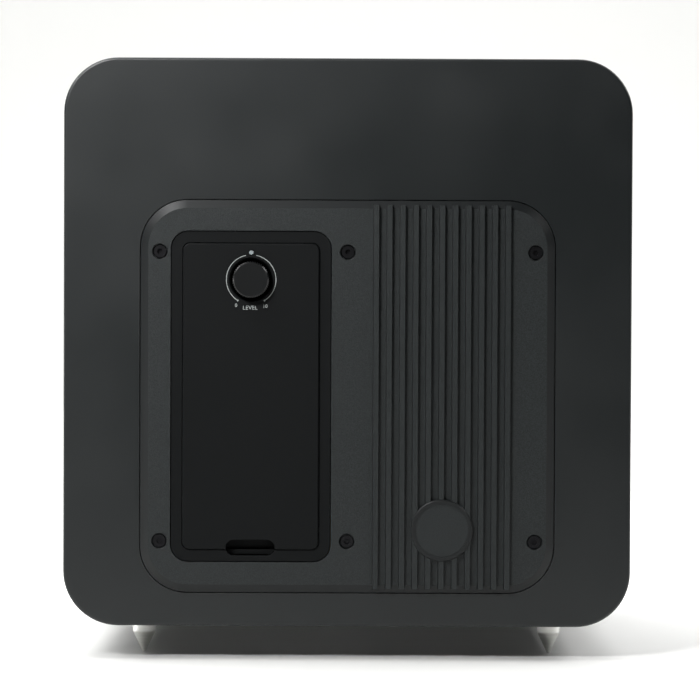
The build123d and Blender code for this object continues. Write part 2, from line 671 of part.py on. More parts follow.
# ---------------------------------------------------------------- connection bay
cavity_width = cover_width + 2 * cover_gap
cavity_height = cover_height + 2 * cover_gap
box_width = cavity_width + 2 * tray_wall
box_height = cavity_height + 2 * tray_wall
post_x = cavity_width / 2 - magnet_post / 2
post_y = cavity_height / 2 - magnet_post / 2
post_top_y = face_y + cover_stand - cover_skirt_depth
level_pot_x = bay_x
with BuildPart() as bay_tray:
    with BuildSketch(rear_plane(plate_back_y)):
        with Locations((bay_x, 0)):
            RectangleRounded(bezel_width, bezel_height, bezel_corner)
    extrude(amount=plate_flange + plate_rise - bezel_drop)
    with BuildSketch(rear_plane(bay_floor_y - tray_wall)):
        with Locations((bay_x, 0)):
            RectangleRounded(box_width, box_height, cover_corner + tray_wall)
    extrude(amount=bay_depth + tray_wall - plate_rise - plate_flange)
    # fixing ears behind the plate
    with BuildSketch(rear_plane(plate_back_y)):
        with Locations((bay_x, 0)):
            with GridLocations(2 * tray_ear_x, 0, 2, 1):
                Rectangle(tray_ear_width, bezel_height + 2 * tray_ear_reach)
    extrude(amount=-tray_ear_thickness)
    with BuildSketch(rear_plane(bay_floor_y)):
        with Locations((bay_x, 0)):
            RectangleRounded(cavity_width, cavity_height, cover_corner)
    extrude(amount=bay_depth, mode=Mode.SUBTRACT)
    # ledge behind the finger notch, with the cables' way out between it and the cover
    with BuildSketch(rear_plane(face_y - ledge_setback)):
        with Locations((bay_x, (ledge_height - cavity_height) / 2)):
            Rectangle(ledge_width, ledge_height)
    extrude(amount=-tray_wall)
    # corner posts that carry the cover
    with BuildSketch(rear_plane(bay_floor_y)):
        with Locations((bay_x, 0)):
            with GridLocations(2 * post_x, 2 * post_y, 2, 2):
                Rectangle(magnet_post, magnet_post)
    extrude(amount=post_top_y - bay_floor_y)
    with BuildSketch(rear_plane(post_top_y)):
        with Locations((bay_x, 0)):
            with GridLocations(2 * post_x, 2 * post_y, 2, 2):
                Circle(magnet_diameter / 2 + glue_gap)
    extrude(amount=-magnet_thickness, mode=Mode.SUBTRACT)
    # turret for the level shaft and the light pipe
    with BuildSketch(rear_plane(bay_floor_y)):
        with Locations((level_pot_x, level_y)):
            Circle(turret_diameter / 2)
        with Locations((level_pot_x, light_y)):
            Circle(light_diameter / 2 + tray_wall)
        with Locations((level_pot_x, (level_y + light_y) / 2)):
            Rectangle(tray_wall, light_y - level_y)
    extrude(amount=bay_depth - level_knob_length + level_knob_stand - 2)
    with BuildSketch(rear_plane(bay_floor_y - tray_wall)):
        with Locations((level_pot_x, level_y)):
            Circle(shaft_diameter / 2 + 2 * running_gap)
        with Locations((level_pot_x, light_y)):
            Circle(light_diameter / 2 + glue_gap)
        with Locations((bay_x + crossover_x, crossover_y)):
            Circle(shaft_diameter / 2 + 2 * running_gap)
        with Locations((bay_x + phase_x, phase_y)):
            Rectangle(14, 7)
        with Locations((bay_x - line_pitch / 2, line_y), (bay_x + line_pitch / 2, line_y)):
            Circle(line_radius + running_gap)
        with Locations((bay_x + rocker_x, mains_y)):
            Rectangle(13 + 2 * glue_gap, 21 + 2 * glue_gap)
        with Locations((bay_x + inlet_x, mains_y)):
            Rectangle(inlet_width + 2 * glue_gap, inlet_height + 2 * glue_gap)
    extrude(amount=bay_depth, mode=Mode.SUBTRACT)
    # scoop in the bezel below the cover's notch
    with BuildSketch(rear_plane(face_y)):
        with Locations((bay_x, notch_y)):
            SlotOverall(notch_width, notch_height)
    extrude(amount=-notch_scoop, mode=Mode.SUBTRACT)
    # screw holes in the ears and blind holes for the input board
    with BuildSketch(rear_plane(plate_back_y)):
        with Locations((bay_x, 0)):
            with GridLocations(2 * tray_ear_x, 2 * tray_screw_y, 2, 2):
                Circle(board_screw_diameter / 2 + running_gap)
    extrude(amount=-tray_ear_thickness, mode=Mode.SUBTRACT)
    with BuildSketch(rear_plane(bay_floor_y - tray_wall)):
        with Locations((bay_x, 0)):
            with GridLocations(2 * post_x, 2 * post_y, 2, 2):
                Circle(boss_diameter / 2)
    extrude(amount=-input_board_gap)
    with BuildSketch(rear_plane(input_board_y)):
        with Locations((bay_x, 0)):
            with GridLocations(2 * post_x, 2 * post_y, 2, 2):
                Circle(board_screw_diameter / 2 + glue_gap)
    extrude(amount=board_screw_length, mode=Mode.SUBTRACT)
save(bay_tray, "bay_tray")

with BuildPart() as tray_magnets:
    with BuildSketch(rear_plane(post_top_y - magnet_thickness)):
        with Locations((bay_x, 0)):
            with GridLocations(2 * post_x, 2 * post_y, 2, 2):
                Circle(magnet_diameter / 2)
    extrude(amount=magnet_thickness - glue_gap)
save(tray_magnets, "tray_magnets")

with BuildPart() as tray_screws:
    with BuildSketch(rear_plane(plate_back_y - tray_ear_thickness)):
        with Locations((bay_x, 0)):
            with GridLocations(2 * tray_ear_x, 2 * tray_screw_y, 2, 2):
                Circle(board_screw_head / 2)
    extrude(amount=-2.2)
    with BuildSketch(rear_plane(plate_back_y - tray_ear_thickness)):
        with Locations((bay_x, 0)):
            with GridLocations(2 * tray_ear_x, 2 * tray_screw_y, 2, 2):
                Circle(board_screw_diameter / 2)
    extrude(amount=tray_ear_thickness + plate_flange)
save(tray_screws, "tray_screws")

cover_back_y = post_top_y
cover_face_y = face_y + cover_stand
with BuildPart() as rear_cover:
    with BuildSketch(rear_plane(cover_back_y)):
        with Locations((bay_x, 0)):
            RectangleRounded(cover_width, cover_height, cover_corner)
    extrude(amount=cover_skirt_depth)
    chamfer(rear_cover.faces().sort_by(Axis.Y)[-1].edges(), 0.6)
    with BuildSketch(rear_plane(cover_back_y)):
        with Locations((bay_x, 0)):
            RectangleRounded(cover_width - 2 * cover_skirt_wall, cover_height - 2 * cover_skirt_wall,
                             cover_corner - cover_skirt_wall)
    extrude(amount=cover_skirt_depth - cover_panel, mode=Mode.SUBTRACT)
    # corner bosses that hold the magnets
    with BuildSketch(rear_plane(cover_back_y + cover_gap)):
        with Locations((bay_x, 0)):
            with GridLocations(2 * post_x, 2 * post_y, 2, 2):
                Circle(magnet_post / 2 - cover_gap)
    extrude(amount=cover_skirt_depth - cover_panel)
    with BuildSketch(rear_plane(cover_back_y)):
        with Locations((bay_x, 0)):
            with GridLocations(2 * post_x, 2 * post_y, 2, 2):
                Circle(magnet_diameter / 2 + glue_gap)
    extrude(amount=cover_gap + magnet_thickness, mode=Mode.SUBTRACT)
    # knob hole with a small lead-in, light hole, and the finger notch
    with BuildSketch(rear_plane(cover_back_y)):
        with Locations((bay_x, level_y)):
            Circle(level_hole_diameter / 2)
        with Locations((bay_x, light_y)):
            Circle(light_hole_diameter / 2)
        with Locations((bay_x, notch_y)):
            SlotOverall(notch_width, notch_height)
    extrude(amount=cover_skirt_depth, mode=Mode.SUBTRACT)
    with BuildSketch(rear_plane(cover_face_y)):
        with Locations((bay_x, level_y)):
            Circle(level_hole_diameter / 2 + 0.7)
    extrude(amount=-0.7, taper=45, mode=Mode.SUBTRACT)
save(rear_cover, "rear_cover")

with BuildPart() as cover_magnets:
    with BuildSketch(rear_plane(cover_back_y + cover_gap + glue_gap)):
        with Locations((bay_x, 0)):
            with GridLocations(2 * post_x, 2 * post_y, 2, 2):
                Circle(magnet_diameter / 2)
    extrude(amount=magnet_thickness - glue_gap)
save(cover_magnets, "cover_magnets")

# ---------------------------------------------------------------- controls
knob_top_y = face_y + level_knob_stand
knob_back_y = knob_top_y - level_knob_length
with BuildPart() as level_knob:
    with BuildSketch(rear_plane(knob_back_y)):
        with Locations((level_pot_x, level_y)):
            Circle(level_knob_diameter / 2)
    extrude(amount=level_knob_length)
    chamfer(level_knob.edges().group_by(Axis.Y)[-1], 0.8)
    with BuildSketch(rear_plane(knob_back_y)):
        with Locations((level_pot_x, level_y)):
            with PolarLocations(level_knob_diameter / 2, level_serrations):
                Circle(level_serration_radius)
    extrude(amount=level_knob_length, mode=Mode.SUBTRACT)
    with BuildSketch(rear_plane(knob_back_y)):
        with Locations((level_pot_x, level_y)):
            Circle(shaft_diameter / 2 + glue_gap)
    extrude(amount=level_knob_length - 5, mode=Mode.SUBTRACT)
save(level_knob, "level_knob")

pot_face_y = bay_floor_y - tray_wall - 2
pot_depth = 7.0
with BuildPart() as level_shaft:
    with BuildSketch(rear_plane(pot_face_y - pot_depth + 1.5)):
        with Locations((level_pot_x, level_y)):
            Circle(shaft_diameter / 2)
    extrude(amount=knob_top_y - 5.5 - (pot_face_y - pot_depth + 1.5))
save(level_shaft, "level_shaft")

for pot_name, pot_x, pot_y in (("level_pot", level_pot_x, level_y),
                               ("crossover_pot", bay_x + crossover_x, crossover_y)):
    with BuildPart() as pot:
        with BuildSketch(rear_plane(input_board_y)):
            with Locations((pot_x, pot_y)):
                Rectangle(12, 12)
        extrude(amount=input_board_gap - 2)
        with BuildSketch(rear_plane(pot_face_y - pot_depth + 1.2)):
            with Locations((pot_x, pot_y)):
                Circle(shaft_diameter / 2 + running_gap)
        extrude(amount=pot_depth, mode=Mode.SUBTRACT)
    save(pot, pot_name)

with BuildPart() as crossover_knob:
    with BuildSketch(rear_plane(bay_floor_y + 1)):
        with Locations((bay_x + crossover_x, crossover_y)):
            Circle(crossover_diameter / 2)
    extrude(amount=crossover_length)
    chamfer(crossover_knob.edges().group_by(Axis.Y)[-1], 0.6)
    with BuildSketch(rear_plane(bay_floor_y + crossover_length + 1)):
        with Locations((bay_x + crossover_x, crossover_y + crossover_diameter / 4)):
            Rectangle(1, crossover_diameter / 2)
    extrude(amount=-0.6, mode=Mode.SUBTRACT)
    with BuildSketch(rear_plane(pot_face_y - pot_depth + 1.5)):
        with Locations((bay_x + crossover_x, crossover_y)):
            Circle(shaft_diameter / 2)
    extrude(amount=bay_floor_y + 1.5 - (pot_face_y - pot_depth + 1.5))
save(crossover_knob, "crossover_knob")

with BuildPart() as phase_switch_housing:
    with BuildSketch(rear_plane(input_board_y)):
        with Locations((bay_x + phase_x, phase_y)):
            Rectangle(16, 8)
    extrude(amount=input_board_gap - 0.5)
    with BuildSketch(rear_plane(input_board_y + 5)):
        with Locations((bay_x + phase_x, phase_y)):
            Rectangle(12, 5)
    extrude(amount=input_board_gap, mode=Mode.SUBTRACT)
save(phase_switch_housing, "phase_switch_housing")

with BuildPart() as phase_slider:
    with BuildSketch(rear_plane(input_board_y + 5.1)):
        with Locations((bay_x + phase_x - phase_travel / 2, phase_y)):
            Rectangle(8, 4.6)
    extrude(amount=4)
    with BuildSketch(rear_plane(input_board_y + 9.1)):
        with Locations((bay_x + phase_x - phase_travel / 2, phase_y)):
            Rectangle(3.2, 3.2)
    extrude(amount=6)
save(phase_slider, "phase_slider")

line_block_y = bay_floor_y - tray_wall
with BuildPart() as line_in_block:
    with BuildSketch(rear_plane(input_board_y)):
        with Locations((bay_x, line_y)):
            Rectangle(line_pitch + 14, 14)
    extrude(amount=input_board_gap)
    with BuildSketch(rear_plane(line_block_y)):
        with Locations((bay_x - line_pitch / 2, line_y), (bay_x + line_pitch / 2, line_y)):
            Circle(line_bore - glue_gap)
            Circle(line_contact_radius, mode=Mode.SUBTRACT)
    extrude(amount=tray_wall + line_length - 1.5)
    with BuildSketch(rear_plane(line_block_y)):
        with Locations((bay_x - line_pitch / 2, line_y), (bay_x + line_pitch / 2, line_y)):
            Circle(line_contact_radius)
    extrude(amount=-5, mode=Mode.SUBTRACT)
save(line_in_block, "line_in_block")

with BuildPart() as line_in_shells:
    with BuildSketch(rear_plane(line_block_y)):
        with Locations((bay_x - line_pitch / 2, line_y), (bay_x + line_pitch / 2, line_y)):
            Circle(line_radius)
            Circle(line_bore, mode=Mode.SUBTRACT)
    extrude(amount=tray_wall + line_length)
    with BuildSketch(rear_plane(bay_floor_y)):
        with Locations((bay_x - line_pitch / 2, line_y), (bay_x + line_pitch / 2, line_y)):
            RegularPolygon(5.6, 6)
            Circle(line_bore, mode=Mode.SUBTRACT)
    extrude(amount=1.5)
save(line_in_shells, "line_in_shells")

with BuildPart() as mains_inlet:
    with BuildSketch(rear_plane(bay_floor_y)):
        with Locations((bay_x + inlet_x, mains_y)):
            RectangleRounded(inlet_width + 4, inlet_height + 4, 3)
    extrude(amount=inlet_flange)
    with BuildSketch(rear_plane(bay_floor_y)):
        with Locations((bay_x + inlet_x, mains_y)):
            Rectangle(inlet_width, inlet_height)
    extrude(amount=-inlet_depth)
    with BuildSketch(rear_plane(bay_floor_y + inlet_flange)):
        with Locations((bay_x + inlet_x, mains_y)):
            Polygon((-plug_half_width, -plug_half_height), (plug_half_width, -plug_half_height),
                    (plug_half_width, plug_half_height - plug_chamfer),
                    (plug_half_width - plug_chamfer, plug_half_height),
                    (plug_chamfer - plug_half_width, plug_half_height),
                    (-plug_half_width, plug_half_height - plug_chamfer))
    extrude(amount=-inlet_depth, mode=Mode.SUBTRACT)
    with BuildSketch(rear_plane(bay_floor_y)):
        with Locations((bay_x + inlet_x - 7, mains_y - 2), (bay_x + inlet_x + 7, mains_y - 2),
                       (bay_x + inlet_x, mains_y + 2)):
            Rectangle(2 + glue_gap, 4 + glue_gap)
    extrude(amount=-inlet_depth, mode=Mode.SUBTRACT)
save(mains_inlet, "mains_inlet")

with BuildPart() as mains_pins:
    with BuildSketch(rear_plane(bay_floor_y)):
        with Locations((bay_x + inlet_x - 7, mains_y - 2), (bay_x + inlet_x + 7, mains_y - 2),
                       (bay_x + inlet_x, mains_y + 2)):
            Rectangle(2, 4)
    extrude(amount=-inlet_depth - 6)
save(mains_pins, "mains_pins")

rocker_pivot_y = bay_floor_y + 0.5
with BuildPart() as power_switch_housing:
    with BuildSketch(rear_plane(bay_floor_y)):
        with Locations((bay_x + rocker_x, mains_y)):
            Rectangle(16, 24)
    extrude(amount=2)
    with BuildSketch(rear_plane(bay_floor_y)):
        with Locations((bay_x + rocker_x, mains_y)):
            Rectangle(13, 21)
    extrude(amount=-15)
    with BuildSketch(rear_plane(bay_floor_y - 9)):
        with Locations((bay_x + rocker_x, mains_y)):
            Rectangle(10.6, 18.6)
    extrude(amount=12, mode=Mode.SUBTRACT)
    with BuildSketch(Plane.YZ.offset(-(bay_x + rocker_x) - 6.5)):
        with Locations((rocker_pivot_y, plate_z + mains_y)):
            Circle(1.1)
    extrude(amount=13, mode=Mode.SUBTRACT)
save(power_switch_housing, "power_switch_housing")

rocker_section = Plane.YZ.offset(-(bay_x + rocker_x) - 5)
with BuildPart() as power_rocker:
    with BuildSketch(rocker_section):
        with BuildLine():
            Polyline((rocker_pivot_y - 3, plate_z + mains_y - 7.4),
                     (rocker_pivot_y + 4, plate_z + mains_y - 8),
                     (rocker_pivot_y + 3, plate_z + mains_y),
                     (rocker_pivot_y + 4, plate_z + mains_y + 8),
                     (rocker_pivot_y - 3, plate_z + mains_y + 7.4), close=True)
        make_face()
    extrude(amount=10)
    with BuildSketch(Plane.YZ.offset(-(bay_x + rocker_x) - 6.2)):
        with Locations((rocker_pivot_y, plate_z + mains_y)):
            Circle(1)
    extrude(amount=12.4)
save(power_rocker, "power_rocker")

# ---------------------------------------------------------------- boards
with BuildPart() as input_board:
    with BuildSketch(rear_plane(input_board_y)):
        with Locations((bay_x, 0)):
            RectangleRounded(box_width, box_height, cover_corner)
            with GridLocations(2 * post_x, 2 * post_y, 2, 2):
                Circle(board_screw_diameter / 2 + running_gap, mode=Mode.SUBTRACT)
        with Locations((bay_x + rocker_x, mains_y)):
            Rectangle(15, 23, mode=Mode.SUBTRACT)
        with Locations((bay_x + inlet_x, mains_y)):
            Rectangle(inlet_width + 2, inlet_height + 2, mode=Mode.SUBTRACT)
    extrude(amount=-board_sheet)
save(input_board, "input_board")

with BuildPart() as power_board:
    with BuildSketch(rear_plane(power_board_y)):
        with Locations((cell_centre, 0)):
            Rectangle(power_board_width, power_board_height)
            with GridLocations(2 * power_boss_x, 2 * power_boss_y, 2, 2):
                Circle(board_screw_diameter / 2 + running_gap, mode=Mode.SUBTRACT)
    extrude(amount=-board_sheet)
save(power_board, "power_board")

with BuildPart() as board_screws:
    for centre_x, board_y, span_x, span_y in (
            (cell_centre, power_board_y, power_boss_x, power_boss_y),
            (bay_x, input_board_y, post_x, post_y)):
        with BuildSketch(rear_plane(board_y - board_sheet)):
            with Locations((centre_x, 0)):
                with GridLocations(2 * span_x, 2 * span_y, 2, 2):
                    Circle(board_screw_head / 2)
        extrude(amount=-2.2)
        with BuildSketch(rear_plane(board_y - board_sheet)):
            with Locations((centre_x, 0)):
                with GridLocations(2 * span_x, 2 * span_y, 2, 2):
                    Circle(board_screw_diameter / 2)
        extrude(amount=board_screw_length)
save(board_screws, "board_screws")

with BuildPart() as reservoir_capacitors:
    with BuildSketch(rear_plane(power_board_y - board_sheet)):
        with Locations((cell_centre, -40), (cell_centre, -10)):
            Circle(capacitor_diameter / 2)
    extrude(amount=-capacitor_height)
    fillet(reservoir_capacitors.edges().group_by(Axis.Y)[0], 1.2)
save(reservoir_capacitors, "reservoir_capacitors")

with BuildPart() as output_transistors:
    with BuildSketch(rear_plane(plate_back_y)):
        with Locations((cell_centre, 20)):
            with GridLocations(16, 30, 4, 2):
                Rectangle(10, 15)
    extrude(amount=-4.6)
    # legs, down from each body and back to the board
    with BuildSketch(rear_plane(plate_back_y - 2)):
        with Locations((cell_centre, 10.5)):
            with GridLocations(16, 30, 4, 2):
                with GridLocations(2.5, 0, 3, 1):
                    Rectangle(0.8, 4)
    extrude(amount=-0.8)
    with BuildSketch(rear_plane(plate_back_y - 2)):
        with Locations((cell_centre, 8.9)):
            with GridLocations(16, 30, 4, 2):
                with GridLocations(2.5, 0, 3, 1):
                    Rectangle(0.8, 0.8)
    extrude(amount=-(power_board_gap - 2))
save(output_transistors, "output_transistors")

with BuildPart() as status_led:
    with BuildSketch(rear_plane(input_board_y)):
        with Locations((level_pot_x, light_y)):
            Circle(1.5)
    extrude(amount=4)
save(status_led, "status_led")

with BuildPart() as status_light_pipe:
    with BuildSketch(rear_plane(input_board_y + 4.2)):
        with Locations((level_pot_x, light_y)):
            Circle(light_diameter / 2)
    extrude(amount=cover_face_y + 0.2 - (input_board_y + 4.2))
save(status_light_pipe, "status_light_pipe")

# ---------------------------------------------------------------- transformer
toroid_y = back_y - toroid_setback
with BuildPart() as transformer:
    with BuildSketch(Plane.XY.offset(inner_floor_z)):
        with Locations((0, toroid_y)):
            Circle(toroid_diameter / 2)
            Circle(toroid_bore / 2, mode=Mode.SUBTRACT)
    extrude(amount=toroid_height)
    fillet(transformer.edges().filter_by(GeomType.CIRCLE), 6)
save(transformer, "transformer")

clamp_z = inner_floor_z + toroid_height
with BuildPart() as transformer_clamp:
    with BuildSketch(Plane.XY.offset(clamp_z)):
        with Locations((0, toroid_y)):
            Circle(toroid_diameter * 0.32)
            Circle(toroid_bolt / 2 + running_gap, mode=Mode.SUBTRACT)
    extrude(amount=2)
save(transformer_clamp, "transformer_clamp")

with BuildPart() as transformer_bolt:
    with BuildSketch(Plane.XY.offset(clamp_z + 2)):
        with Locations((0, toroid_y)):
            RegularPolygon(toroid_bolt, 6)
    extrude(amount=4)
    with BuildSketch(Plane.XY.offset(clamp_z + 2)):
        with Locations((0, toroid_y)):
            Circle(toroid_bolt / 2)
    extrude(amount=-(toroid_height + 2 + wrap_wall * 0.6))
save(transformer_bolt, "transformer_bolt")

# ---------------------------------------------------------------- speaker leads
tag_y = front_y + terminal_depth
lead_start_y = power_board_y - board_sheet
lead_start_z = plate_z + 60
for lead_name, side in (("speaker_lead_red", 1), ("speaker_lead_black", -1)):
    start_x = -cell_centre + 5 * side
    lead_points = [(start_x, lead_start_y, lead_start_z), (start_x, lead_start_y - 26, lead_start_z),
                   (start_x + 12, lead_start_y - 60, lead_start_z + 16),
                   (start_x + 26, lead_start_y - 98, lead_start_z + 44),
                   (side * tag_x - 8, lead_start_y - 146, tag_top + 13 + side),
                   (side * tag_x - 2, tag_y + 34, tag_top + 27),
                   (side * tag_x, tag_y + 11, tag_top + 24),
                   (side * tag_x, tag_y, tag_top + 12), (side * tag_x, tag_y, tag_top)]
    lead_radii = tube_path(lead_points)
    with BuildPart() as lead:
        with BuildLine() as route:
            FilletPolyline(*lead_points, radius=lead_radii)
        with BuildSketch(rear_plane(lead_start_y, lead_start_z)):
            with Locations((-start_x, 0)):
                Circle(lead_diameter / 2)
        sweep(path=route.wires()[0])
    save(lead, lead_name)
    print(lead_name, "length", round(route.wires()[0].length, 1),
          "volume", round(lead.part.volume, 1))
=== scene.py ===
import math

import bmesh
import bpy
import numpy as np
from mathutils import Matrix, Vector


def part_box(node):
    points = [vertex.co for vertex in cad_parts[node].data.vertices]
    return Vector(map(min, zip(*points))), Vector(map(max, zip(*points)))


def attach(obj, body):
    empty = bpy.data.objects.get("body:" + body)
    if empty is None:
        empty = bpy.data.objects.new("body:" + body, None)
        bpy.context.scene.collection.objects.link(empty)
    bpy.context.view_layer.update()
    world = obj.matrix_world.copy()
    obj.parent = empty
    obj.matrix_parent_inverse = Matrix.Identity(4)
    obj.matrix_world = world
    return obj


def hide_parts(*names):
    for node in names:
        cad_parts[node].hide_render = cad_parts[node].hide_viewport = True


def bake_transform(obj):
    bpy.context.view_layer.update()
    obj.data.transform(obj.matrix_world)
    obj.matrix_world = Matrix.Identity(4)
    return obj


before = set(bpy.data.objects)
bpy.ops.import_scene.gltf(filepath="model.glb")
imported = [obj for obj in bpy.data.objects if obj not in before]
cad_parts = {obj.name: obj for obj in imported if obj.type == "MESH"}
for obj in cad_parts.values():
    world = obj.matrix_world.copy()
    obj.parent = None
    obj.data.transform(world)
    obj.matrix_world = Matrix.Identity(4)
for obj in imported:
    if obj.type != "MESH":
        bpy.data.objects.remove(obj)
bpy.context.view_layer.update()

mm = 0.001

# Places that several pieces share, all read from the frame.
boardLow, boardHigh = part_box("rear_board")
knobLow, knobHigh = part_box("level_knob")
backY = boardHigh.y
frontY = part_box("front_baffle")[0].y
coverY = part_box("rear_cover")[1].y
knobCentre = (knobLow + knobHigh) / 2
cabinetCentre = (boardLow + boardHigh) / 2
coneLow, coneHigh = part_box("cone")
wooferCentre = (coneLow + coneHigh) / 2


def linearColour(hexText):  # sRGB hex to the linear values that shaders use
    channels = [int(hexText[start:start + 2], 16) / 255 for start in (1, 3, 5)]
    return tuple(c / 12.92 if c <= 0.04045 else ((c + 0.055) / 1.055) ** 2.4 for c in channels) + (1,)


def addNode(tree, kind, inputs=None, **settings):  # one node, with its settings and what feeds it
    node = tree.nodes.new(kind)
    for name, value in settings.items():
        setattr(node, name, value)
    for socket, value in (inputs or {}).items():
        if isinstance(value, bpy.types.NodeSocket):
            tree.links.new(value, node.inputs[socket])
        else:
            node.inputs[socket].default_value = value
    return node


def newMaterial(name):
    material = bpy.data.materials.new(name)
    material.use_nodes = True
    tree = material.node_tree
    shader = tree.nodes["Principled BSDF"]
    place = addNode(tree, "ShaderNodeTexCoord").outputs["Object"]
    return material, tree, shader, place


def grainFinish(name, spec):
    # Two close shades mixed by a grain of real size, a slow change of gloss across the piece,
    # and the grain again as relief.
    material, tree, shader, place = newMaterial(name)
    grain = addNode(tree, "ShaderNodeTexNoise", {
        "Vector": place, "Scale": 1 / (spec["grain"] * mm), "Detail": 3, "Roughness": 0.6})
    slow = addNode(tree, "ShaderNodeTexNoise", {"Vector": place, "Scale": 14, "Detail": 2})
    shade = addNode(tree, "ShaderNodeMix", {
        "Factor": grain.outputs["Fac"], "A": linearColour(spec["dark"]),
        "B": linearColour(spec["light"])}, data_type="RGBA")
    tree.links.new(shade.outputs["Result"], shader.inputs["Base Color"])
    gloss = addNode(tree, "ShaderNodeMapRange", {
        "Value": slow.outputs["Fac"], "From Min": 0.3, "From Max": 0.7,
        "To Min": spec["rough"] - spec.get("roughSpread", 0.04),
        "To Max": spec["rough"] + spec.get("roughSpread", 0.04)})
    tree.links.new(gloss.outputs["Result"], shader.inputs["Roughness"])
    relief = addNode(tree, "ShaderNodeBump", {
        "Height": grain.outputs["Fac"], "Strength": spec.get("relief", 0.3),
        "Distance": spec["depth"] * mm})
    tree.links.new(relief.outputs["Normal"], shader.inputs["Normal"])
    shader.inputs["Metallic"].default_value = spec.get("metallic", 0.0)
    if "ior" in spec:
        shader.inputs["IOR"].default_value = spec["ior"]
    shader.inputs["Specular IOR Level"].default_value = spec.get("specular", 0.5)
    if "coat" in spec:
        shader.inputs["Coat Weight"].default_value = spec["coat"]
        shader.inputs["Coat Roughness"].default_value = 0.2
    return material


# Plain finishes: shades, grain in mm, roughness, relief depth in mm.
finishes = {
    # Satin two-pack lacquer sprayed on fibreboard: an even soft sheen with faint orange peel.
    "satinLacquer": dict(light="#0f1415", dark="#0d1112", grain=1.6, rough=0.4, depth=0.03,
                         relief=0.25, ior=1.5),
    # Sawn fibreboard, unpainted: matt, brown, with short pale fibres.
    "rawFibreboard": dict(light="#9a7a54", dark="#7d5f3e", grain=0.9, rough=0.85, depth=0.1),
    # Injection-moulded ABS with fine spark erosion: dark, low sheen.
    "mouldedAbs": dict(light="#080a0b", dark="#060809", grain=0.6, rough=0.55, depth=0.02,
                       specular=0.13, ior=1.52),
    # Hard black ABS of knobs and switches, smoother than the panels.
    "smoothAbs": dict(light="#0c0e0f", dark="#0a0b0c", grain=0.5, rough=0.28, depth=0.01, ior=1.52),
    # White moulded nylon of socket inserts and switch marks.
    "whiteNylon": dict(light="#d9d8d2", dark="#cfcec8", grain=0.7, rough=0.4, depth=0.01),
    # Screws in black oxide: dark with a dull metallic sheen.
    "blackOxideSteel": dict(light="#2a2a2c", dark="#1b1b1d", grain=0.7, rough=0.4, depth=0.01,
                            metallic=0.9),
    # Zinc-plated pressed steel: pale, slightly cloudy.
    "zincSteel": dict(light="#b4b6b8", dark="#8f9295", grain=3.0, rough=0.38, depth=0.01,
                      metallic=1.0, roughSpread=0.1),
    # Nickel-plated magnets, bright.
    "nickelMagnet": dict(light="#c4c3bf", dark="#b0afab", grain=2.0, rough=0.22, depth=0.005,
                         metallic=1.0),
    # Butyl rubber of the surround: matt black with a soft edge sheen.
    "butylRubber": dict(light="#1d1d1e", dark="#171718", grain=0.8, rough=0.6, depth=0.02),
    # Closed-cell foam tape.
    "foamTape": dict(light="#262626", dark="#151515", grain=1.1, rough=0.9, depth=0.2),
    # Pressed pulp paper, dyed black: fibrous and matt.
    "pulpPaper": dict(light="#262524", dark="#191817", grain=1.4, rough=0.78, depth=0.12, relief=0.5),
    # Resin-dipped cotton of the spider: amber and open.
    "dippedCotton": dict(light="#9c7038", dark="#6e4a20", grain=1.0, rough=0.7, depth=0.15),
    # Powder-coated die-cast basket.
    "basketPowder": dict(light="#27292a", dark="#1e2021", grain=0.7, rough=0.55, depth=0.04),
    # Sintered ferrite: dark grey, dry, with fine pits.
    "sinteredFerrite": dict(light="#3a3938", dark="#2b2a29", grain=0.8, rough=0.7, depth=0.05),
    # Drawn aluminium of the coil former.
    "drawnAluminium": dict(light="#c8cacc", dark="#b2b5b8", grain=0.8, rough=0.35, depth=0.01,
                           metallic=1.0),
    # Enamelled copper wire.
    "enamelledCopper": dict(light="#b5632f", dark="#8e4a22", grain=0.4, rough=0.3, depth=0.05,
                            metallic=0.9),
    # Gold flash on brass contacts.
    "goldFlash": dict(light="#d9b45c", dark="#c39c46", grain=1.2, rough=0.25, depth=0.005,
                      metallic=1.0),
    # Shrunk sleeve of electrolytic capacitors: glossy blue-black.
    "shrinkSleeve": dict(light="#202f52", dark="#182443", grain=1.0, rough=0.25, depth=0.01, coat=0.3),
    # Vinyl insulation of the speaker leads.
    "redVinyl": dict(light="#a82320", dark="#8d1a18", grain=1.0, rough=0.42, depth=0.01),
    "blackVinyl": dict(light="#1a1a1b", dark="#121213", grain=1.0, rough=0.42, depth=0.01),
    # Screen-printed epoxy ink on the cover: off-white, thin, a little uneven.
    "printedInk": dict(light="#a4a9a8", dark="#8b908f", grain=0.4, rough=0.5, depth=0.005),
}
materials = {name: grainFinish(name, spec) for name, spec in finishes.items()}
print("plain finishes made")


# Die-cast aluminium with powder coat: the flat face is blasted to a coarse sparkling grain, while the
# bevel, rib flanks and boss's sides stay smooth. The grain is about 0.5 mm, coarser than real, so that it
# shows, and it runs over the rib tops too.
castPlate = dict(light="#24292a", dark="#0a0d0d", smooth="#0f1213", grain=0.5, rough=0.44,
                 depth=0.16, rise=5.9, specular=0.36)


